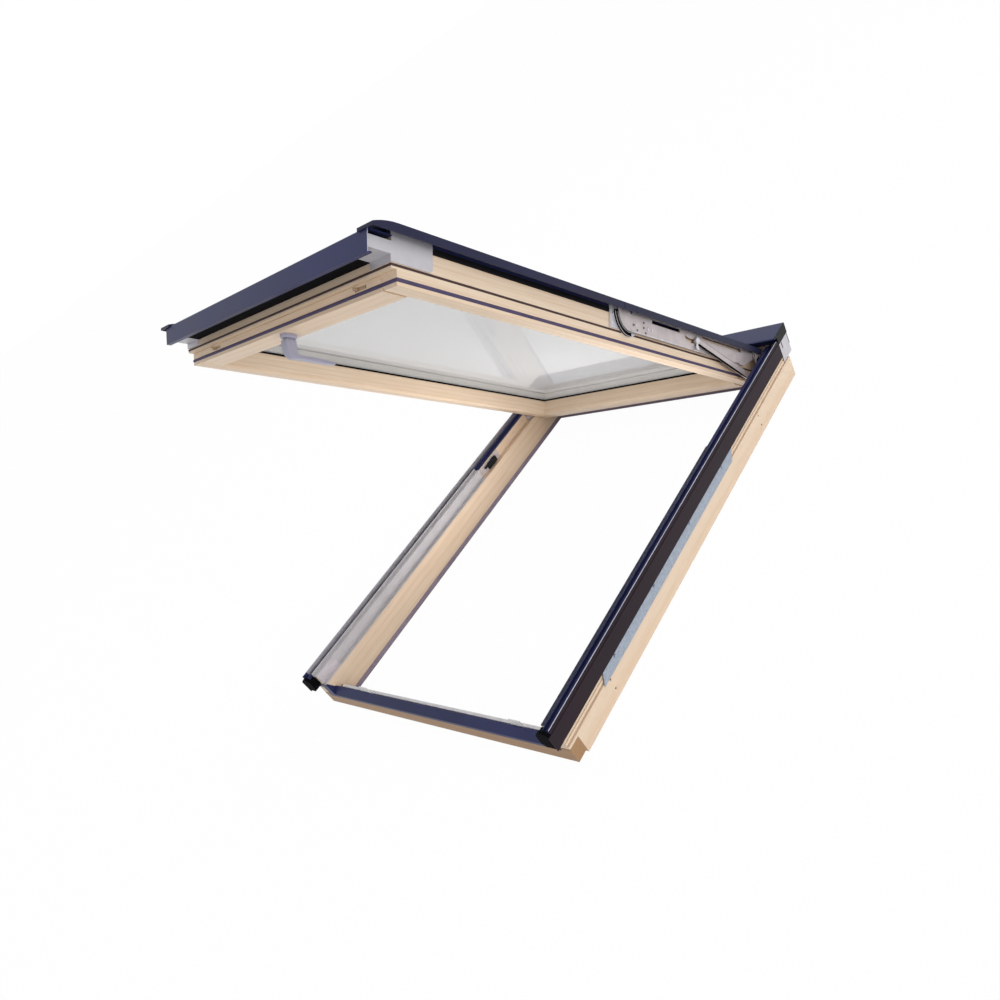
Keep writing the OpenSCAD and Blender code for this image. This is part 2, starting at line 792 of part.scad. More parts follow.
// Lower side cover, carried by the sash, with a lower end that bows down
module lower_cover() {
    end_y = -nose_reach - 3;
    bow_y = sash_y - 1;
    bow_drop = 8;
    bow_r = ((bow_y - end_y) ^ 2 + bow_drop ^ 2) / (2 * bow_drop);
    inner = cover_side - cover_w;
    low = cap_top - cover_edge;
    side_cover(bow_y, pivot_y - split_low, inner);
    difference() {
        intersection() {
            box([inner, end_y, low], [cover_side, bow_y, cap_top]);
            pin(bow_y, cap_top - bow_r, bow_r, inner, cover_side);
        }
        intersection() {
            box([inner - 1, end_y + cover_t, low - 1], [cover_side - cover_t, bow_y + 1, cap_top]);
            pin(bow_y, cap_top - bow_r, bow_r - cover_t, inner - 1, cover_side);
        }
    }
}

module left_lower_cover() { color(cover_blue) opened() left() lower_cover(); }

module right_lower_cover() { color(cover_blue) opened() lower_cover(); }

// Pale brackets that wrap the lower corners of the sash and carry the bottom cover's ends
bracket_leg = 48;
bracket_back = sash_y + 78;
shelf_z = nose_top - nose_h + 8;
module corner_brackets() {
    sheet = 1.6;
    low = sash_z + seal_high + upper_seal_w + 1;
    high = cap_z - slop;
    front = -nose_reach + cover_t;
    arm_top = nose_top - 8;
    soft = 7;
    color(pale_steel) opened() pair() {
        along_x(sash_x, sash_x + sheet) {
            difference() {
                polygon([
                    [front, arm_top], [front, shelf_z], [sash_y - sheet, shelf_z], [sash_y - sheet, low],
                    [bracket_back, low], [bracket_back, high], [sash_y, high], [sash_y, arm_top]
                ]);
                translate([bracket_back - soft, low - 1]) square(soft + 1);
            }
            translate([bracket_back - soft, low + soft]) circle(soft);
        }
        box([sash_x - bracket_leg, sash_y - sheet, low], [sash_x, sash_y, shelf_z]);
        box([sash_x - bracket_leg, front, shelf_z], [sash_x, sash_y, shelf_z + sheet]);
    }
}

// Plates on the sash sides that carry the pivot pins and the curved guides
wing = 60;
module pivot_plates() {
    color(pale_steel) opened() pair() difference() {
        intersection() {
            union() {
                pin(pivot_y, pivot_z, guide_r + guide_w, sash_x, plate_x);
                box([sash_x, pivot_y - wing, arm_low], [plate_x, pivot_y, cap_z]);
            }
            box([sash_x - 1, pivot_y - wing, 0], [plate_x + 1, pivot_y + guide_r, cap_z]);
        }
        pin(pivot_y, pivot_z, pin_r, sash_x - 1, plate_x + 1);
    }
}

// Pivot pins between the sash plates and the arms
module pivot_pins() {
    color(pale_steel) opened() pair() {
        pin(pivot_y, pivot_z, pin_r, sash_x, arm_x + arm_t);
        difference() {
            pin(pivot_y, pivot_z, pin_r + 1.5, arm_x + arm_t, arm_x + arm_t + 1.2);
            box([0, 0, cap_z], [frame_w, frame_l, cap_z + 5]);
        }
    }
}

// Black curved guides around the arms' round ends
module pivot_guides() {
    from_angle = 5;
    to_angle = 98;
    reach = 2 * (guide_r + guide_w);
    color(black) opened() pair() intersection() {
        difference() {
            pin(pivot_y, pivot_z, guide_r + guide_w, plate_x, arm_x + 0.8);
            pin(pivot_y, pivot_z, guide_r, plate_x - 1, arm_x + 2);
        }
        along_x(plate_x - 1, arm_x + 2) translate([pivot_y, pivot_z])
            polygon([[0, 0], reach * [-cos(from_angle), -sin(from_angle)],
                     reach * [-cos(45), -sin(45)] * 1.4, reach * [-cos(to_angle), -sin(to_angle)]]);
    }
}

// Screws through the pivot plates' wings
module plate_screws() {
    color(steel) opened() pair() for (y = [-54, -50], z = [8, 26])
        if (z == 8 && y == -54 || z == 26 && y == -50)
            pin(pivot_y + y, arm_low + z, 3, plate_x, plate_x + 1.5);
}

// Gearbox in the bottom rail
module latch_gearbox() {
    color(steel) opened() difference() {
        box([-44, latch_y + 6.5, latch_z - stud_r], [44, handle_y + 12, latch_z + 10]);
        translate([0, handle_y, sash_z]) cylinder(r = 5.6, h = 60);
    }
}

// Round rose of the handle
rose_t = 7;
module handle_rose() {
    color(pale_steel) opened() difference() {
        translate([0, handle_y, sash_z - rose_t]) {
            cylinder(r1 = 13, r2 = 15, h = 2);
            translate([0, 0, 2]) cylinder(r = 15, h = rose_t - 2);
        }
        translate([0, handle_y, sash_z - rose_t - 1]) cylinder(r = journal_r + pin_fit, h = rose_t + 2);
    }
}

// Handle: journal, neck and a flat lever that bends towards the glass
module handle_lever() {
    neck_r = 10;
    thick = 9;
    low = sash_z - lever_off;
    tip_r = 7;
    bend_y = handle_y + lever_l * 0.45;
    color([0.6, 0.6, 0.68]) opened() {
        translate([0, handle_y, sash_z - rose_t - 2]) cylinder(r = journal_r, h = rose_t + 8);
        hull() {
            translate([0, handle_y, sash_z - rose_t - 2]) cylinder(r = neck_r, h = 1.7, $fn = 32);
            translate([0, handle_y, low + thick]) cylinder(r = neck_r, h = 1, $fn = 32);
            translate([0, handle_y + 4, low + 4]) sphere(r = 4, $fn = 24);
        }
        hull() {
            translate([0, handle_y + 4, low + 3]) cylinder(r = neck_r, h = thick, $fn = 32);
            translate([0, handle_y + 2, low + 3]) cylinder(r = neck_r - 2, h = thick + 5, $fn = 32);
            translate([0, bend_y, low + 1]) cylinder(r = neck_r - 1, h = thick - 3, $fn = 32);
        }
        hull() {
            translate([0, bend_y, low + 1]) cylinder(r = neck_r - 1, h = thick - 3, $fn = 32);
            translate([0, handle_y + lever_l - tip_r, low]) cylinder(r = tip_r, h = thick - 5, $fn = 32);
        }
    }
}

// Square spindle that turns the gearbox
module spindle() {
    side = 7;
    start = sash_z + 6;
    color(steel) opened() box([-side / 2, handle_y - side / 2, start],
        [side / 2, handle_y + side / 2, latch_z + 9]);
}

// Latch bar with its studs, in the groove of the bottom rail
module latch_bar() {
    reach = stud_at + 20;
    stud_tip = keep_y + 0.6;
    color(steel) opened() {
        box([-reach, latch_y, latch_z - stud_r], [reach, latch_y + bar_d, latch_z + stud_r]);
        for (s = [-1, 1]) translate([s * stud_at, latch_y, latch_z]) rotate([90, 0, 0])
            cylinder(r = stud_r, h = latch_y - stud_tip);
    }
}

// Black slide that locks the left arm down for turning the sash
module selector_slide() {
    nose_low = catch_z + catch_r + 1;
    high = nose_low + 6;
    color(black) left() {
        box([selector_x, selector_y, catch_z - 6],
            [rebate_x - sheet_t - slop, selector_y + selector_l, high]);
        box([selector_x, selector_y - selector_nose, nose_low], [selector_x + 3.5, selector_y, high]);
    }
}

left_jamb();
right_jamb();
sill();
head_rail();
sill_cover();
left_jamb_cover();
right_jamb_cover();
cover_skirts();
head_hood();
hood_ends();
cover_end_caps();
rebate_plates();
side_strips();
strip_screws();
head_corner_plates();
frame_seal();
lining_profile();
hinge_brackets();
hinge_pins();
strut_brackets();
strut_foot_pins();
latch_keeps();
selector_track();
left_arm();
right_arm();
left_upper_cover();
right_upper_cover();
arm_rivets();
catch_pin();
left_strut();
right_strut();
slot_pins();
left_stile();
right_stile();
top_rail();
bottom_rail();
inner_pane();
outer_pane();
glass_spacer();
inner_gasket();
outer_gasket();
glazing_cap();
inner_seal();
middle_seal();
bottom_cover();
nose_liner();
left_lower_cover();
right_lower_cover();
corner_brackets();
pivot_plates();
pivot_pins();
pivot_guides();
plate_screws();
latch_gearbox();
handle_rose();
handle_lever();
spindle();
latch_bar();
selector_slide();
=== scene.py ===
# Roof skylight: finishes, small fittings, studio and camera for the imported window.
from math import cos, radians, sin

import bpy
from mathutils import Matrix, Vector


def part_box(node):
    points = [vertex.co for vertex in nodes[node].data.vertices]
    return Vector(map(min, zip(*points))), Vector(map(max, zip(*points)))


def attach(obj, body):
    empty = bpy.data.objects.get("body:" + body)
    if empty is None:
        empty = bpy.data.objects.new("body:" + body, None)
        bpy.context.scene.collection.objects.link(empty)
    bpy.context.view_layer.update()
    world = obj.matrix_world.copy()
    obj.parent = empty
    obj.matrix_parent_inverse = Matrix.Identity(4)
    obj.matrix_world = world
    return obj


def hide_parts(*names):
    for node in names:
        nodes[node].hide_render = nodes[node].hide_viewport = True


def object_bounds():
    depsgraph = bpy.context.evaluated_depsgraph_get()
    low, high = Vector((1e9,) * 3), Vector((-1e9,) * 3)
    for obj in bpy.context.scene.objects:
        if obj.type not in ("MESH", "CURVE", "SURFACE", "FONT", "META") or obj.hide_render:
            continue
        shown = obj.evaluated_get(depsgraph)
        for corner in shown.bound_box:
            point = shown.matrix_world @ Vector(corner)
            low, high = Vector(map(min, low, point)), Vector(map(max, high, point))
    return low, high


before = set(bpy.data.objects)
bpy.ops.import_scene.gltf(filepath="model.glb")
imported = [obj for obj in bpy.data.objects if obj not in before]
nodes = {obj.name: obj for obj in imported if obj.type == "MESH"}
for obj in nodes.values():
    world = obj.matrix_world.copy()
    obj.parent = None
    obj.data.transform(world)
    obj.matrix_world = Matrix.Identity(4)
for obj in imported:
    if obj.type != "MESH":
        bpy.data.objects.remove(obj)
cad_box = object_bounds()

# Opening angle of the sash at rest, which also turns the grain of its wood
OPEN = radians(43)
FRAME_TURN = (0, 0, 0)
ACROSS_TURN = (0, 0, radians(90))
SASH_TURN = (OPEN, 0, 0)
SASH_ACROSS_TURN = (OPEN, 0, radians(90))

# Range in which most values of a cloudy pattern lie
PATTERN_LOW = 0.3
PATTERN_HIGH = 0.7
# Stretch that draws a cloudy pattern out into fine lines along the slope
FINE_LINES = (700, 20, 700)
# Height above which the right-hand lining sheet has painted shade, in metres
SHADE_LINE = 0.0995


# Helpers for the finishes
def rgb(red, green, blue):
    """Linear colour of a colour written in the usual 0 to 255 values."""
    def linear(value):
        value /= 255
        return value / 12.92 if value <= 0.04045 else ((value + 0.055) / 1.055) ** 2.4
    return (linear(red), linear(green), linear(blue), 1)


def with_painted_shade(colour, painted_shade):
    """A colour darkened by a painted shade laid over it."""
    return tuple(own * over for own, over in zip(colour, painted_shade))


def new_finish(name, roughness=0.5, metallic=0.0, specular=0.5):
    """A material with its node tree and shader, with the values that are the same all over."""
    finish = bpy.data.materials.new(name)
    finish.use_nodes = True
    shader = finish.node_tree.nodes["Principled BSDF"]
    shader.inputs["Roughness"].default_value = roughness
    shader.inputs["Metallic"].default_value = metallic
    shader.inputs["Specular IOR Level"].default_value = specular
    return finish, finish.node_tree, shader


def pattern_space(tree, turn=(0, 0, 0), stretch=(1, 1, 1), shift=(0, 0, 0)):
    """Object coordinates, turned first and then stretched and shifted for a pattern."""
    place = tree.nodes.new("ShaderNodeTexCoord")
    turned = tree.nodes.new("ShaderNodeMapping")
    turned.inputs["Rotation"].default_value = turn
    stretched = tree.nodes.new("ShaderNodeMapping")
    stretched.inputs["Scale"].default_value = stretch
    stretched.inputs["Location"].default_value = shift
    tree.links.new(place.outputs["Object"], turned.inputs["Vector"])
    tree.links.new(turned.outputs["Vector"], stretched.inputs["Vector"])
    return stretched.outputs["Vector"]


def cloudy(tree, space, scale=1.0, detail=3.0, roughness=0.55):
    """Soft uneven pattern."""
    noise = tree.nodes.new("ShaderNodeTexNoise")
    noise.inputs["Scale"].default_value = scale
    noise.inputs["Detail"].default_value = detail
    noise.inputs["Roughness"].default_value = roughness
    tree.links.new(space, noise.inputs["Vector"])
    return noise.outputs["Fac"]


def tones(tree, pattern, stops):
    """Colours spread over a pattern, as (place, colour) stops."""
    ramp = tree.nodes.new("ShaderNodeValToRGB")
    while len(ramp.color_ramp.elements) < len(stops):
        ramp.color_ramp.elements.new(1.0)
    for element, (place, colour) in zip(ramp.color_ramp.elements, stops):
        element.position = place
        element.color = colour
    tree.links.new(pattern, ramp.inputs["Fac"])
    return ramp.outputs["Color"]


def two_tones(tree, pattern, dark, light, start=PATTERN_LOW, end=PATTERN_HIGH):
    """Drift between a dark and a light colour over a pattern."""
    return tones(tree, pattern, [(start, dark), (end, light)])


def mixed(tree, factor, first, second, blend="MIX"):
    """Two colours mixed by a pattern or by one number; the second may be a plain colour."""
    mix = tree.nodes.new("ShaderNodeMix")
    mix.data_type = "RGBA"
    mix.blend_type = blend
    for socket, source in (("Factor", factor), ("A", first), ("B", second)):
        if isinstance(source, (float, tuple)):
            mix.inputs[socket].default_value = source
        else:
            tree.links.new(source, mix.inputs[socket])
    return mix.outputs["Result"]


def worked_out(tree, operation, first, second):
    """One step of arithmetic; the second value may be a plain number."""
    step = tree.nodes.new("ShaderNodeMath")
    step.operation = operation
    tree.links.new(first, step.inputs[0])
    if isinstance(second, float):
        step.inputs[1].default_value = second
    else:
        tree.links.new(second, step.inputs[1])
    return step.outputs["Value"]


def roughened(tree, shader, pattern, low, high):
    """Roughness that follows a pattern between two values."""
    bring = tree.nodes.new("ShaderNodeMapRange")
    bring.inputs["From Min"].default_value = PATTERN_LOW
    bring.inputs["From Max"].default_value = PATTERN_HIGH
    bring.inputs["To Min"].default_value = low
    bring.inputs["To Max"].default_value = high
    tree.links.new(pattern, bring.inputs["Value"])
    tree.links.new(bring.outputs["Result"], shader.inputs["Roughness"])


def relief(tree, shader, height, strength, depth):
    """Fine relief of a surface, depth in metres."""
    bump = tree.nodes.new("ShaderNodeBump")
    bump.inputs["Strength"].default_value = strength
    bump.inputs["Distance"].default_value = depth
    tree.links.new(height, bump.inputs["Height"])
    tree.links.new(bump.outputs["Normal"], shader.inputs["Normal"])


# Finishes
def pine(name, turn, shift, painted_shade=(1, 1, 1, 1)):
    """Lacquered pine with growth rings along the grain and fine fibres, darkened all over by an even
    painted shade where one is given.
    """
    finish, tree, shader = new_finish(name, specular=0.35)
    rings = tree.nodes.new("ShaderNodeTexWave")
    rings.wave_type = "RINGS"
    rings.rings_direction = "Y"
    rings.inputs["Scale"].default_value = 30
    rings.inputs["Distortion"].default_value = 3
    rings.inputs["Detail"].default_value = 2
    rings.inputs["Detail Scale"].default_value = 22
    tree.links.new(pattern_space(tree, turn, (1, 0.02, 1), shift), rings.inputs["Vector"])
    growth = tones(tree, rings.outputs["Fac"], [
        (0.0, with_painted_shade(rgb(231, 214, 195), painted_shade)),
        (0.6, with_painted_shade(rgb(230, 212, 192), painted_shade)),
        (0.88, with_painted_shade(rgb(228, 209, 188), painted_shade)),
        (1.0, with_painted_shade(rgb(225, 205, 183), painted_shade)),
    ])
    fibres = cloudy(tree, pattern_space(tree, turn, (700, 9, 700)), detail=2)
    fibre_tone = two_tones(tree, fibres, rgb(243, 237, 229), rgb(255, 255, 255))
    boards = cloudy(tree, pattern_space(tree, turn, (9, 0.8, 9)), detail=2)
    board_tone = two_tones(tree, boards, rgb(249, 241, 233), rgb(255, 253, 249))
    wood = mixed(tree, 1.0, growth, fibre_tone, "MULTIPLY")
    wood = mixed(tree, 1.0, wood, board_tone, "MULTIPLY")
    tree.links.new(wood, shader.inputs["Base Color"])
    roughened(tree, shader, fibres, 0.38, 0.5)
    relief(tree, shader, fibres, strength=0.12, depth=0.0004)
    return finish


def powder_paint(name, dark, light, dullness, shine=0.2):
    """Satin powder coat on sheet metal, with a slight orange-peel relief."""
    finish, tree, shader = new_finish(name, specular=shine)
    space = pattern_space(tree)
    drift = cloudy(tree, space, scale=7, detail=4)
    peel = cloudy(tree, space, scale=900, detail=2)
    tree.links.new(two_tones(tree, drift, dark, light), shader.inputs["Base Color"])
    roughened(tree, shader, drift, dullness - 0.04, dullness + 0.06)
    relief(tree, shader, peel, strength=0.15, depth=0.0002)
    return finish


def moulded_plastic(name, dark, light, dullness, shine=0.15):
    """Moulded plastic with a fine spark-eroded grain."""
    finish, tree, shader = new_finish(name, specular=shine)
    space = pattern_space(tree)
    drift = cloudy(tree, space, scale=25)
    grain = cloudy(tree, space, scale=1600, detail=2)
    tree.links.new(two_tones(tree, drift, dark, light), shader.inputs["Base Color"])
    roughened(tree, shader, grain, dullness - 0.05, dullness + 0.08)
    relief(tree, shader, grain, strength=0.25, depth=0.0002)
    return finish


def brushed_metal(name, dark, light, dullness, metallic):
    """Rolled sheet metal with faint drawing lines and handling marks."""
    finish, tree, shader = new_finish(name, metallic=metallic)
    lines = cloudy(tree, pattern_space(tree, stretch=FINE_LINES))
    marks = cloudy(tree, pattern_space(tree), scale=38, detail=5, roughness=0.65)
    tone = two_tones(tree, marks, dark, light, start=0.32, end=0.62)
    tree.links.new(tone, shader.inputs["Base Color"])
    roughened(tree, shader, lines, dullness - 0.06, dullness + 0.08)
    relief(tree, shader, lines, strength=0.08, depth=0.0002)
    return finish


def zinc_spangle(name, dark, light, dullness, metallic):
    """Galvanised sheet with crystal spangles."""
    finish, tree, shader = new_finish(name, metallic=metallic)
    crystals = tree.nodes.new("ShaderNodeTexVoronoi")
    crystals.inputs["Scale"].default_value = 160
    tree.links.new(pattern_space(tree), crystals.inputs["Vector"])
    spangle = crystals.outputs["Distance"]
    tone = two_tones(tree, spangle, dark, light, start=0.1, end=0.8)
    tree.links.new(tone, shader.inputs["Base Color"])
    roughened(tree, shader, spangle, dullness - 0.08, dullness + 0.08)
    return finish


def lining_sheet(name, dark, light, shade_colour):
    """Bright lining sheet, darker above the jamb's front on the right-hand side as painted shade."""
    finish, tree, shader = new_finish(name, roughness=0.42, metallic=0.2, specular=0.4)
    marks = cloudy(tree, pattern_space(tree), scale=20, detail=4)
    bare = two_tones(tree, marks, dark, light)
    axes = tree.nodes.new("ShaderNodeSeparateXYZ")
    tree.links.new(pattern_space(tree), axes.inputs["Vector"])
    on_the_right = worked_out(tree, "GREATER_THAN", axes.outputs["X"], 0.0)
    above_the_line = worked_out(tree, "GREATER_THAN", axes.outputs["Z"], SHADE_LINE)
    in_shade = worked_out(tree, "MULTIPLY", on_the_right, above_the_line)
    tree.links.new(mixed(tree, in_shade, bare, shade_colour), shader.inputs["Base Color"])
    lines = cloudy(tree, pattern_space(tree, stretch=FINE_LINES))
    relief(tree, shader, lines, strength=0.02, depth=0.0002)
    return finish


def seal_rubber(name, dark, light):
    """Extruded rubber with a dull, slightly uneven skin."""
    finish, tree, shader = new_finish(name, specular=0.3)
    skin = cloudy(tree, pattern_space(tree, stretch=(60, 60, 60)))
    tree.links.new(two_tones(tree, skin, dark, light), shader.inputs["Base Color"])
    roughened(tree, shader, skin, 0.55, 0.7)
    relief(tree, shader, skin, strength=0.1, depth=0.0003)
    return finish


def hazy_glass(name, tint):
    """Float glass with a pale haze and a barely uneven surface."""
    finish, tree, shader = new_finish(name, roughness=0.0, specular=0.15)
    shader.inputs["Transmission Weight"].default_value = 0.8
    shader.inputs["IOR"].default_value = 1.05
    shader.inputs["Base Color"].default_value = tint
    waves = cloudy(tree, pattern_space(tree, SASH_TURN), scale=5, detail=1)
    relief(tree, shader, waves, strength=0.01, depth=0.001)
    return finish


# Woods, paints, plastics, metals, rubbers and glass of the window
frame_pine = pine("frame_pine", FRAME_TURN, (0.12, 0.0, 0.09))
# Sill and head rail wood is darkened all over as painted shade, for the sill's shaded front.
cross_pine = pine("frame_cross_pine", ACROSS_TURN, (0.1, 0.2, 0.07), painted_shade=rgb(186, 162, 132))
sash_pine = pine("sash_pine", SASH_TURN, (0.15, 0.4, -0.3))
sash_cross_pine = pine("sash_cross_pine", SASH_ACROSS_TURN, (0.05, 0.1, -0.25))
cover_paint = powder_paint("cover_paint", rgb(39, 43, 78), rgb(47, 51, 91), 0.36)
# The side covers have the cover paint made darker, as painted shade.
shaded_side_paint = powder_paint("side_cover_shaded_paint", rgb(32, 33, 55), rgb(39, 40, 67), 0.4, shine=0.15)
# Brown-black film on the outer walls of the jamb covers; its dark tone is partly its own colour and partly
# painted shade.
skirt_film = powder_paint("skirt_film", rgb(34, 24, 31), rgb(42, 30, 38), 0.5, shine=0.12)
handle_paint = powder_paint("handle_paint", rgb(152, 150, 167), rgb(164, 162, 179), 0.35, shine=0.35)
black_plastic = moulded_plastic("black_plastic", rgb(10, 10, 13), rgb(18, 18, 22), 0.45)
# A blacker, duller copy of the black plastic, which adds painted shade to the black parts it is on.
shaded_black = moulded_plastic("shaded_black", rgb(4, 4, 7), rgb(8, 8, 12), 0.75, shine=0.04)
lining_plastic = moulded_plastic("lining_plastic", rgb(132, 120, 134), rgb(146, 134, 148), 0.5)
pale_metal = brushed_metal("pale_metal", rgb(190, 187, 192), rgb(197, 194, 199), 0.42, metallic=0.3)
latch_bronze = brushed_metal("latch_bronze", rgb(176, 152, 124), rgb(188, 164, 136), 0.45, metallic=0.3)
arm_steel = brushed_metal("arm_steel", rgb(180, 169, 170), rgb(194, 184, 184), 0.4, metallic=0.3)
bright_steel = brushed_metal("bright_steel", rgb(196, 194, 198), rgb(214, 212, 216), 0.25, metallic=0.85)
spacer_metal = brushed_metal("spacer_metal", rgb(212, 212, 210), rgb(222, 222, 220), 0.5, metallic=0.1)
screw_steel = brushed_metal("screw_steel", rgb(96, 90, 92), rgb(128, 122, 124), 0.35, metallic=0.5)
end_metal = brushed_metal("end_metal", rgb(190, 182, 186), rgb(204, 197, 200), 0.42, metallic=0.25)
# Pale metal for rolled edges, standing for painted highlights along them.
painted_highlight_metal = brushed_metal("painted_highlight_metal", rgb(176, 176, 192), rgb(200, 200, 214), 0.3, metallic=0.4)
# The right-hand lining gets a dark colour above the jamb's front as painted shade.
lining_metal = lining_sheet("lining_metal", rgb(184, 180, 182), rgb(192, 188, 190), shade_colour=rgb(40, 42, 66))
galvanised = zinc_spangle("galvanised", rgb(140, 150, 166), rgb(166, 175, 188), 0.4, metallic=0.5)
mauve_rubber = seal_rubber("mauve_rubber", rgb(66, 56, 84), rgb(80, 70, 100))
brown_rubber = seal_rubber("brown_rubber", rgb(56, 38, 38), rgb(70, 50, 50))
pale_rubber = seal_rubber("pale_rubber", rgb(214, 212, 214), rgb(226, 224, 226))
glass = hazy_glass("glass", rgb(237, 237, 237))

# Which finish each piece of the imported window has
FINISH_OF = {
    frame_pine: ["left_jamb", "right_jamb"],
    cross_pine: ["sill", "head_rail"],
    sash_pine: ["left_stile", "right_stile"],
    sash_cross_pine: ["top_rail", "bottom_rail"],
    cover_paint: ["sill_cover", "left_jamb_cover", "right_jamb_cover", "head_hood", "bottom_cover",
                  "glazing_cap"],
    shaded_side_paint: ["left_upper_cover", "right_upper_cover", "left_lower_cover", "right_lower_cover"],
    skirt_film: ["cover_skirts"],
    handle_paint: ["handle_lever", "handle_rose"],
    black_plastic: ["hood_ends", "selector_slide", "outer_gasket"],
    shaded_black: ["nose_liner", "cover_end_caps", "pivot_guides", "inner_gasket"],
    lining_plastic: ["lining_profile"],
    pale_metal: ["head_corner_plates", "corner_brackets", "pivot_plates"],
    latch_bronze: ["latch_bar"],
    arm_steel: ["left_arm", "right_arm", "left_strut", "right_strut", "hinge_brackets", "strut_brackets",
                "selector_track", "latch_gearbox", "spindle"],
    bright_steel: ["hinge_pins", "strut_foot_pins", "slot_pins", "arm_rivets", "catch_pin", "pivot_pins",
                   "plate_screws"],
    spacer_metal: ["glass_spacer", "latch_keeps"],
    lining_metal: ["rebate_plates"],
    galvanised: ["side_strips", "strip_screws"],
    mauve_rubber: ["inner_seal"],
    brown_rubber: ["middle_seal"],
    pale_rubber: ["frame_seal"],
    glass: ["inner_pane", "outer_pane"],
}
for finish, names in FINISH_OF.items():
    for name in names:
        node = nodes[name]
        node.data.materials.clear()
        node.data.materials.append(finish)


# Places in metres: X from the middle to the right, Y up the slope, Z out of the roof.
# Hinge, pivot and strut foot are (Y, Z) places of the side view, with the sash shut.
HINGE = (1.105, 0.112)
PIVOT = (0.595, 0.114)
FOOT = (1.048, 0.082)
STRUT_ANGLE = radians(53.7)
STRUT_LENGTH = 0.2485
# Outer faces of the sash, the lift arms, the struts and the jamb covers
SASH_SIDE = 0.338
ARM_FACE = 0.346
STRUT_FACE = 0.3505
COVER_FACE = 0.392
# Lower edge of the arms, lower end of the jamb covers and middle of the handle
ARM_LOW = 0.076
COVER_END = -0.0135
HANDLE_Y = 0.046

# Directions that faces look in
OUT = (0, 0, 1)
BACK = (0, 0, -1)
UPSLOPE = (0, 1, 0)
DOWNSLOPE = (0, -1, 0)
SIDEWAYS = (1, 0, 0)


def turned_about(angle, place):
    """Swing about the X direction through a place of the side view."""
    centre = Matrix.Translation((0, *place))
    return centre @ Matrix.Rotation(-angle, 4, "X") @ centre.inverted()


# The sash and what it carries are drawn shut, the struts lying down from their foot
SASH_OPEN = turned_about(OPEN, HINGE)
STRUT_UP = Matrix.Translation((0, *FOOT)) @ Matrix.Rotation(-STRUT_ANGLE, 4, "X")


# Helpers for modelling the small pieces
def only(piece):
    """Makes one piece the selected and active one."""
    bpy.ops.object.select_all(action="DESELECT")
    piece.select_set(True)
    bpy.context.view_layer.objects.active = piece


def settled():
    """Takes the selected piece's place, turn and size into its mesh."""
    bpy.ops.object.transform_apply(location=True, rotation=True, scale=True)


def block(low, high):
    """Cube primitive brought to the size and place between two corners."""
    bpy.ops.object.select_all(action="DESELECT")
    middle = [(a + b) / 2 for a, b in zip(low, high)]
    bpy.ops.mesh.primitive_cube_add(size=1, location=middle)
    piece = bpy.context.object
    piece.scale = [b - a for a, b in zip(low, high)]
    settled()
    return piece


def side_plate(face, thick, along, out):
    """Flat block that stands on a side face, between two places along the slope and out of the roof."""
    return block((face, along[0], out[0]), (face + thick, along[1], out[1]))


def disc(radius, thick, foot, sides):
    """Cylinder primitive that stands sideways on a foot point."""
    bpy.ops.object.select_all(action="DESELECT")
    middle = (foot[0] + thick / 2, foot[1], foot[2])
    bpy.ops.mesh.primitive_cylinder_add(vertices=sides, radius=radius, depth=thick,
                                        rotation=(0, radians(90), 0), location=middle)
    piece = bpy.context.object
    settled()
    return piece


def facing(direction):
    """Test for the faces that look in a direction."""
    return lambda middle, normal: normal.dot(Vector(direction)) > 0.9


def pick_faces(piece, test):
    """Goes to edit mode with the faces selected whose middle and normal pass a test."""
    only(piece)
    bpy.ops.object.mode_set(mode="EDIT")
    bpy.ops.mesh.select_mode(type="FACE")
    bpy.ops.mesh.select_all(action="DESELECT")
    bpy.ops.object.mode_set(mode="OBJECT")
    for face in piece.data.polygons:
        face.select = test(face.center, face.normal)
    bpy.ops.object.mode_set(mode="EDIT")


def leave_edit():
    """Goes back from edit mode."""
    bpy.ops.object.mode_set(mode="OBJECT")


def extruded(move):
    """Extrudes the selected faces by a distance."""
    bpy.ops.mesh.extrude_region_move(TRANSFORM_OT_translate={"value": move})


def drawn_out(piece, test, move, scale=(1, 1, 1)):
    """Extrudes the picked faces by a distance and scales the new end."""
    pick_faces(piece, test)
    extruded(move)
    if scale != (1, 1, 1):
        bpy.ops.transform.resize(value=scale)
    leave_edit()


def stepped(piece, test, *steps):
    """Insets the picked faces once for each (margin, height) step, raised or sunk."""
    pick_faces(piece, test)
    for margin, height in steps:
        bpy.ops.mesh.inset(thickness=margin, depth=height)
    leave_edit()


def softened(piece, width, steps=2):
    """Rounds all sharp edges with an applied bevel."""
    only(piece)
    bevel = piece.modifiers.new("soft_edges", "BEVEL")
    bevel.width = width
    bevel.segments = steps
    bevel.limit_method = "ANGLE"
    bevel.angle_limit = radians(40)
    bpy.ops.object.modifier_apply(modifier=bevel.name)
    return piece


def smoothed(piece, levels):
    """Subdivision surface, applied."""
    only(piece)
    surface = piece.modifiers.new("smooth_form", "SUBSURF")
    surface.levels = levels
    surface.render_levels = levels
    bpy.ops.object.modifier_apply(modifier=surface.name)
    return piece


def closed_outwards(piece):
    """Merges doubles and turns all faces outwards."""
    only(piece)
    bpy.ops.object.mode_set(mode="EDIT")
    bpy.ops.mesh.select_all(action="SELECT")
    bpy.ops.mesh.remove_doubles(threshold=0.00001)
    bpy.ops.mesh.normals_make_consistent(inside=False)
    leave_edit()


def fixed(piece, name, finish, body, place=None):
    """Gives a modelled piece its name, finish and place, and fixes it to a body."""
    piece.name = name
    piece.data.name = name
    piece.data.materials.clear()
    piece.data.materials.append(finish)
    if place:
        piece.matrix_world = place @ piece.matrix_world
    only(piece)
    settled()
    bpy.ops.object.shade_smooth_by_angle(angle=radians(35))
    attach(piece, body)


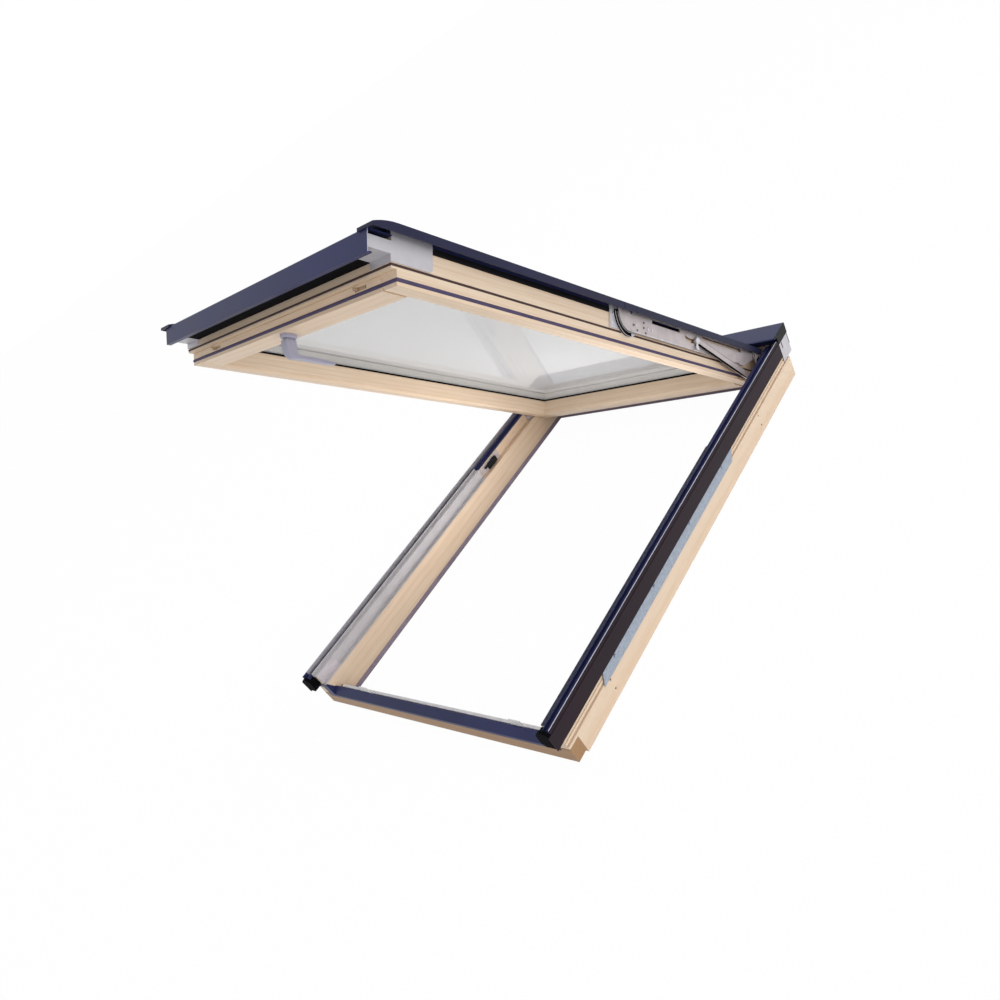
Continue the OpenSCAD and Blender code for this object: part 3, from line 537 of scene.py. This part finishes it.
def copied(piece, shift=(0, 0, 0), mirrored=False):
    """Copy with its own mesh, moved or mirrored to the window's left side."""
    twin = piece.copy()
    twin.data = piece.data.copy()
    bpy.context.collection.objects.link(twin)
    only(twin)
    twin.location = shift
    if mirrored:
        twin.scale = (-1, 1, 1)
    settled()
    if mirrored:
        closed_outwards(twin)
    return twin


def on_both_sides(piece, name, finish, body, place=None):
    """Fixes a piece on the right side and its mirror image on the left."""
    twin = copied(piece, mirrored=True)
    fixed(piece, "right_" + name, finish, body, place)
    fixed(twin, "left_" + name, finish, body, place)


# Seals, mechanism and covers
def seal_bulb(name, finish, half_x, along, z, radius):
    """Round rubber lip that stands out of a seal groove all round the sash."""
    low, high = along
    bpy.ops.object.select_all(action="DESELECT")
    bpy.ops.mesh.primitive_plane_add(size=1, location=(0, (low + high) / 2, z))
    lip = bpy.context.object
    lip.scale = (2 * half_x, high - low, 1)
    settled()
    bpy.ops.object.mode_set(mode="EDIT")
    bpy.ops.mesh.select_all(action="SELECT")
    bpy.ops.mesh.delete(type="ONLY_FACE")
    leave_edit()
    bpy.ops.object.convert(target="CURVE")
    lip = bpy.context.object
    lip.data.bevel_depth = radius
    lip.data.bevel_resolution = 3
    bpy.ops.object.convert(target="MESH")
    lip = bpy.context.object
    closed_outwards(lip)
    fixed(lip, name, finish, "sash", SASH_OPEN)


def guide_lips():
    """Bright lips along both edges of the black curved guides."""
    middle_x = 0.344
    half = 0.0004
    start_z = PIVOT[1] - 0.0062
    sweep = radians(88)
    for name, radius in (("inner", 0.0393), ("outer", 0.0467)):
        middle_y = PIVOT[0] - radius
        lip = block((middle_x - half, middle_y - half, start_z - 0.0006),
                    (middle_x + half, middle_y + half, start_z))
        pick_faces(lip, facing(BACK))
        bpy.ops.mesh.spin(steps=26, angle=-sweep, center=(middle_x, *PIVOT), axis=SIDEWAYS)
        leave_edit()
        closed_outwards(lip)
        on_both_sides(softened(lip, 0.0002), f"guide_{name}_lip", bright_steel, "sash", SASH_OPEN)


def arm_edges():
    """Folded lip along each lift arm's lower edge, with a turned-up end at the pivot."""
    lip = side_plate(ARM_FACE, 0.0011, along=(PIVOT[0] + 0.012, FOOT[0] - 0.014),
                     out=(ARM_LOW, ARM_LOW + 0.0022))
    drawn_out(lip, facing(DOWNSLOPE), (0, -0.012, 0.003), (1, 1, 0.5))
    on_both_sides(softened(lip, 0.0004), "arm_edge", bright_steel, "lift", SASH_OPEN)


def arm_shadow_strips():
    """Black strips on the stiles behind the first window of each arm, painted shade seen through the
    windows.
    """
    strip = side_plate(SASH_SIDE, 0.0012, along=(PIVOT[0] + 0.065, PIVOT[0] + 0.19), out=(0.1032, 0.1118))
    drawn_out(strip, facing(UPSLOPE), (0, 0.012, 0.002), (1, 1, 0.5))
    on_both_sides(softened(strip, 0.0004), "stile_shade_strip", shaded_black, "sash", SASH_OPEN)


def strut_folds():
    """Folded edge, black strip of painted shade along the lower edge, and pressed rib along each strut."""
    pin_end = -STRUT_LENGTH
    fold = side_plate(STRUT_FACE, 0.0012, along=(pin_end + 0.01, -0.03), out=(0.0066, 0.008))
    drawn_out(fold, facing(UPSLOPE), (0, 0.016, -0.001), (0.4, 1, 0.6))
    on_both_sides(softened(fold, 0.0003), "strut_fold", arm_steel, "struts", STRUT_UP)
    shade_strip = side_plate(STRUT_FACE, 0.0014, along=(pin_end + 0.004, -0.05), out=(-0.0095, -0.005))
    drawn_out(shade_strip, facing(UPSLOPE), (0, 0.03, 0), (1, 1, 0.25))
    on_both_sides(softened(shade_strip, 0.0003), "strut_shade_strip", shaded_black, "struts", STRUT_UP)
    rib = side_plate(STRUT_FACE, 0.0008, along=(-0.1, -0.02), out=(0.0006, 0.0022))
    drawn_out(rib, facing(DOWNSLOPE), (-0.0003, -0.02, 0), (0.3, 1, 0.3))
    on_both_sides(softened(rib, 0.0004), "strut_rib", arm_steel, "struts", STRUT_UP)


def slot_clips():
    """Bright washer with a bent spring tongue on each slot pin."""
    pin_end = -STRUT_LENGTH
    washer = disc(0.0075, 0.001, foot=(STRUT_FACE, pin_end, 0), sides=28)
    stepped(washer, facing(SIDEWAYS), (0.0024, 0), (0.0005, -0.0005))
    on_both_sides(softened(washer, 0.0002), "slot_washer", bright_steel, "struts", STRUT_UP)
    tongue = side_plate(STRUT_FACE, 0.0008, along=(pin_end - 0.004, pin_end + 0.001),
                        out=(-0.0155, -0.0075))
    drawn_out(tongue, facing(BACK), (0.0006, 0.004, -0.004), (1, 0.8, 1))
    drawn_out(tongue, lambda middle, normal: normal.y > 0.6, (0, 0.006, 0.0015), (1, 1, 0.5))
    on_both_sides(softened(tongue, 0.0002), "spring_tongue", bright_steel, "struts", STRUT_UP)


def hinge_clips():
    """Upright tab with a turned foot and a black bush beside each top hinge."""
    tab_top = 0.106
    tab = side_plate(0.3532, 0.0012, along=(HINGE[0] - 0.011, HINGE[0] + 0.007), out=(0.0765, tab_top))
    drawn_out(tab, facing(OUT), (0, 0, 0.006), (1, 0.55, 1))
    drawn_out(tab, lambda middle, normal: normal.y < -0.9 and middle.z < tab_top - 0.006,
              (0.0012, -0.01, -0.006), (1, 1, 0.4))
    on_both_sides(softened(tab, 0.0004), "hinge_tab", end_metal, "frame")
    bush = side_plate(0.3546, 0.0019, along=(HINGE[0] - 0.012, HINGE[0] + 0.002), out=(0.0767, 0.1))
    drawn_out(bush, facing(DOWNSLOPE), (0, -0.012, -0.005), (1, 1, 0.6))
    on_both_sides(softened(bush, 0.0006), "hinge_bush", black_plastic, "frame")


def rebate_ends():
    """Short lapped plates at the lower ends of the jamb rebates."""
    floor_low = 0.3458
    floor_wide = 0.012
    plate = side_plate(floor_low, floor_wide, along=(0.0025, 0.066), out=(0.0745, 0.0751))
    drawn_out(plate, facing(SIDEWAYS), (0.0006, 0, 0))
    drawn_out(plate, lambda middle, normal: normal.z > 0.9 and middle.x > floor_low + floor_wide,
              (0, 0, 0.0255))
    on_both_sides(softened(plate, 0.0002, steps=1), "rebate_end", end_metal, "frame")


def rim_beads():
    """Rolled edge along the rims of the jamb covers, pale as a painted highlight."""
    thick = 0.0014
    bead = side_plate(COVER_FACE - thick, thick, along=(COVER_END, 1.136), out=(0.112, 0.1126))
    stepped(bead, facing(OUT), (0.0003, 0.0003))
    on_both_sides(bead, "rim_bead", painted_highlight_metal, "frame")


def skirt_tops():
    """Dark film, partly painted shade, turned up over the outer walls of the jamb covers, to the rolled
    edge.
    """
    film = side_plate(COVER_FACE, 0.0005, along=(COVER_END, 1.142), out=(0.103, 0.1095))
    drawn_out(film, facing(OUT), (-0.0002, 0, 0.0022), (0.4, 1, 1))
    on_both_sides(film, "skirt_top", skirt_film, "frame")


def latch_covers():
    """Wooden strips that close the latch groove between the slots of the studs."""
    spans = ((-0.3005, -0.245), (-0.216, 0.235), (0.264, 0.3005))
    for number, (start, end) in enumerate(spans):
        strip = block((start, 0.0233, 0.0568), (end, 0.024, 0.0671))
        stepped(strip, facing(DOWNSLOPE), (0.0006, 0.0003))
        fixed(strip, f"latch_cover_{number + 1}", sash_cross_pine, "sash", SASH_OPEN)


def hood_slots():
    """Dark slot with a turned edge in each pale plate under the hood: a black plate whose dark is painted
    shade for the slot's inside.
    """
    slot = side_plate(0.3915, 0.0004, along=(1.158, 1.1605), out=(0.08, 0.096))
    stepped(slot, facing(SIDEWAYS), (0.0006, -0.0003))
    on_both_sides(slot, "hood_slot", black_plastic, "frame")


def cover_trims():
    """End edge of the bottom cover, pale as a painted highlight, and joint clips on the side covers."""
    edge = side_plate(0.341, 0.0006, along=(-0.0298, -0.0284), out=(0.0785, 0.108))
    drawn_out(edge, facing(OUT), (0, 0.0012, 0.0035), (1, 0.6, 1))
    on_both_sides(softened(edge, 0.0002, steps=1), "cover_end_edge", painted_highlight_metal, "sash", SASH_OPEN)
    joint = side_plate(0.359, 0.0005, along=(PIVOT[0] + 0.004, PIVOT[0] + 0.0062), out=(0.1092, 0.1205))
    drawn_out(joint, facing(BACK), (-0.001, 0, -0.002), (0.6, 1, 1))
    on_both_sides(softened(joint, 0.0002, steps=1), "cover_joint", cover_paint, "lift", SASH_OPEN)


def selector_grip():
    """Ribbed grip on the black slide of the left jamb."""
    low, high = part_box("selector_slide")
    ribs = 5
    before = 0.02
    after = 0.004
    margin = 0.0006
    pitch = (high[1] - low[1] - before - after) / ribs
    for number in range(ribs):
        start = low[1] + before + number * pitch
        rib = block((low[0] + margin, start, high[2]),
                    (high[0] - margin, start + pitch / 2, high[2] + 0.0012))
        drawn_out(rib, facing(OUT), (0, 0, 0.0006), (0.85, 0.4, 1))
        fixed(softened(rib, 0.0002), f"selector_rib_{number + 1}", black_plastic, "selector")


def lever_handle():
    """Handle: broad post that sweeps into a flat tapering lever, in place of the plain one."""
    half_wide = 0.0098
    half_deep = 0.0105
    post_end = 0.0265
    post_foot = 0.0345
    lever = block((-half_wide, HANDLE_Y - half_deep, post_end),
                  (half_wide, HANDLE_Y + half_deep, post_foot))
    # The sweep, in steps that turn the post's end and thin it
    thinning = (1.0, 1.0, 0.94, 0.8, 0.7, 0.65)
    step_turn = radians(90) / len(thinning)
    centre = Vector((0, HANDLE_Y, post_end))
    pick_faces(lever, facing(BACK))
    for number, thin in enumerate(thinning):
        heading = step_turn * (number + 0.5)
        move = Vector((0, 0.0042 * sin(heading), -0.005 * cos(heading)))
        centre += move
        extruded(move)
        bpy.ops.transform.rotate(value=-step_turn, orient_axis="X", center_override=centre)
        bpy.ops.transform.resize(value=(1, thin, thin), center_override=centre)
    # The lever, in lengths that narrow and thin towards the tip
    for reach, narrow, thin in ((0.03, 0.97, 0.95), (0.03, 0.94, 0.92), (0.017, 0.85, 0.85)):
        extruded((0, reach, -0.0003))
        bpy.ops.transform.resize(value=(narrow, 1, thin))
    leave_edit()
    # The neck that goes into the rose
    pick_faces(lever, lambda middle, normal: normal.z > 0.9 and middle.z > post_foot - 0.0005)
    bpy.ops.mesh.inset(thickness=0.0028, depth=0)
    extruded((0, 0, 0.0086))
    leave_edit()
    softened(lever, 0.0012)
    smoothed(lever, levels=1)
    fixed(lever, "lever_handle", handle_paint, "handle", SASH_OPEN)
    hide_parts("handle_lever")


def glass_ring(name, finish, half_x, along, out, wide):
    """Thin strip that runs all round the glass."""
    strip = block((-half_x, along[0], out[0]), (half_x, along[1], out[1]))
    pick_faces(strip, lambda middle, normal: abs(normal.z) > 0.9)
    bpy.ops.mesh.inset(thickness=wide, depth=0)
    bpy.ops.mesh.bridge_edge_loops()
    leave_edit()
    closed_outwards(strip)
    fixed(strip, name, finish, "sash", SASH_OPEN)


# Screws
def pan_head(radius, height):
    """Screw head with a domed top and a round socket, its foot at the origin."""
    head = disc(radius, height, foot=(0, 0, 0), sides=20)
    dome = (radius * 0.3, height * 0.35)
    crown = (radius * 0.3, height * 0.08)
    socket = (radius * 0.06, -height * 0.7)
    stepped(head, facing(SIDEWAYS), dome, crown, socket)
    return head


def screws(name, finish, body, places, radius, height, face, place=None):
    """Row of like screws at places of the side view, on both sides of the window."""
    first = pan_head(radius, height)
    for number, (y, z) in enumerate(places):
        on_both_sides(copied(first, (face, y, z)), f"{name}_{number + 1}", finish, body, place)
    bpy.data.objects.remove(first)


ARM_SCREWS = [(PIVOT[0] + 0.01, 0.09), (PIVOT[0] + 0.023, 0.082), (PIVOT[0] + 0.045, 0.1),
              (PIVOT[0] + 0.045, 0.09), (PIVOT[0] + 0.052, 0.081)]
HINGE_SCREWS = [(HINGE[0] - 0.018, 0.0815), (HINGE[0] - 0.018, 0.0875)]

seal_bulb("inner_seal_lip", mauve_rubber, SASH_SIDE - 0.0006, along=(0.0246, 1.1404),
          z=0.053, radius=0.0028)
seal_bulb("middle_seal_lip", brown_rubber, SASH_SIDE - 0.0004, along=(0.0144, 1.1406),
          z=0.0725, radius=0.0019)
guide_lips()
arm_edges()
arm_shadow_strips()
strut_folds()
slot_clips()
hinge_clips()
rebate_ends()
rim_beads()
skirt_tops()
latch_covers()
hood_slots()
cover_trims()
selector_grip()
lever_handle()
glass_ring("glazing_edge", spacer_metal, 0.2998, along=(0.0732, 1.0918), out=(0.1121, 0.1196), wide=0.0006)
glass_ring("glazing_bead", shaded_black, 0.3029, along=(0.0751, 1.0899), out=(0.0842, 0.0879), wide=0.0012)
screws("arm_screw", screw_steel, "lift", ARM_SCREWS, 0.0023, 0.001, ARM_FACE, SASH_OPEN)
screws("hinge_screw", bright_steel, "frame", HINGE_SCREWS, 0.0022, 0.0012, 0.3565)


# Studio: pale floor, white surroundings and soft lamps
def seen_directly(tree):
    """1 for what the camera sees straight on, in a mirror or through glass."""
    path = tree.nodes.new("ShaderNodeLightPath")
    seen = path.outputs["Is Camera Ray"]
    for other in ("Is Glossy Ray", "Is Transmission Ray"):
        seen = worked_out(tree, "MAXIMUM", seen, path.outputs[other])
    return seen


def pale_floor():
    """Wide floor that looks white to the camera and still takes the window's shadow."""
    white_share = 0.975
    bpy.ops.object.select_all(action="DESELECT")
    bpy.ops.mesh.primitive_plane_add(size=400, location=(0, 0.6, cad_box[0][2]))
    floor = bpy.context.object
    floor.name = "studio_floor"
    finish, tree, shader = new_finish("floor_white", roughness=0.9, specular=0.1)
    shader.inputs["Base Color"].default_value = (0.9, 0.9, 0.9, 1)
    glow = tree.nodes.new("ShaderNodeEmission")
    share = tree.nodes.new("ShaderNodeMixShader")
    tree.links.new(worked_out(tree, "MULTIPLY", seen_directly(tree), white_share), share.inputs["Fac"])
    tree.links.new(shader.outputs["BSDF"], share.inputs[1])
    tree.links.new(glow.outputs["Emission"], share.inputs[2])
    tree.links.new(share.outputs["Shader"], tree.nodes["Material Output"].inputs["Surface"])
    floor.data.materials.append(finish)


def white_surroundings():
    """World that looks white and lights the window softly, a little more from above on the right."""
    brighter_side = (0.45, 0.55, 0.7)
    least, most = 0.64, 0.72
    world = bpy.data.worlds.new("white_surroundings")
    bpy.context.scene.world = world
    world.use_nodes = True
    tree = world.node_tree
    seen = tree.nodes["Background"]
    seen.inputs["Color"].default_value = (1, 1, 1, 1)
    seen.inputs["Strength"].default_value = 1.0
    ambient = tree.nodes.new("ShaderNodeBackground")
    ambient.inputs["Color"].default_value = (0.97, 0.98, 1.0, 1)
    direction = tree.nodes.new("ShaderNodeTexCoord")
    towards = tree.nodes.new("ShaderNodeVectorMath")
    towards.operation = "DOT_PRODUCT"
    towards.inputs[1].default_value = brighter_side
    level = tree.nodes.new("ShaderNodeMapRange")
    level.inputs["From Min"].default_value = -0.7
    level.inputs["From Max"].default_value = 0.7
    level.inputs["To Min"].default_value = least
    level.inputs["To Max"].default_value = most
    tree.links.new(direction.outputs["Generated"], towards.inputs[0])
    tree.links.new(towards.outputs["Value"], level.inputs["Value"])
    tree.links.new(level.outputs["Result"], ambient.inputs["Strength"])
    share = tree.nodes.new("ShaderNodeMixShader")
    tree.links.new(seen_directly(tree), share.inputs["Fac"])
    tree.links.new(ambient.outputs["Background"], share.inputs[1])
    tree.links.new(seen.outputs["Background"], share.inputs[2])
    tree.links.new(share.outputs["Shader"], tree.nodes["World Output"].inputs["Surface"])


def soft_lamp(name, place, aim, size, power, hidden=False):
    """Square soft box that points at a place, hidden from the camera where it stands in view."""
    lamp = bpy.data.lights.new(name, "AREA")
    lamp.size = size
    lamp.energy = power
    holder = bpy.data.objects.new(name, lamp)
    bpy.context.collection.objects.link(holder)
    holder.location = place
    holder.rotation_euler = (Vector(aim) - Vector(place)).to_track_quat("-Z", "Y").to_euler()
    if hidden:
        holder.visible_camera = False
        holder.visible_glossy = False
        holder.visible_transmission = False


def photo_camera():
    """Camera at the photograph's angle, for a square image."""
    place = (1.2336, -0.5045, 1.0211)
    right = Vector((0.6984, 0.5128, -0.4993)).normalized()
    back = Vector((0.7143, -0.4562, 0.5307)).normalized()
    up = back.cross(right)
    turn = Matrix((right, up, back)).transposed()
    lens = bpy.data.cameras.new("photo_camera")
    lens.sensor_width = 36
    lens.lens = 27.67
    lens.shift_x = 0.0207
    lens.shift_y = 0.0972
    camera = bpy.data.objects.new("photo_camera", lens)
    bpy.context.collection.objects.link(camera)
    camera.matrix_world = Matrix.Translation(place) @ turn.to_4x4()
    bpy.context.scene.camera = camera


pale_floor()
white_surroundings()
soft_lamp("right_soft_box", (7.5, -0.5, 0.8), aim=(0, 0.5, 0.4), size=4.0, power=225)
soft_lamp("under_soft_box", (0.05, 0.62, 0.0), aim=(0.05, 0.6, 1.0), size=0.36, power=2.6, hidden=True)
soft_lamp("upper_soft_box", (0.8, 1.6, 3.0), aim=(0, 0.6, 0.3), size=2.0, power=30)
photo_camera()
bpy.context.scene.view_settings.view_transform = "Standard"
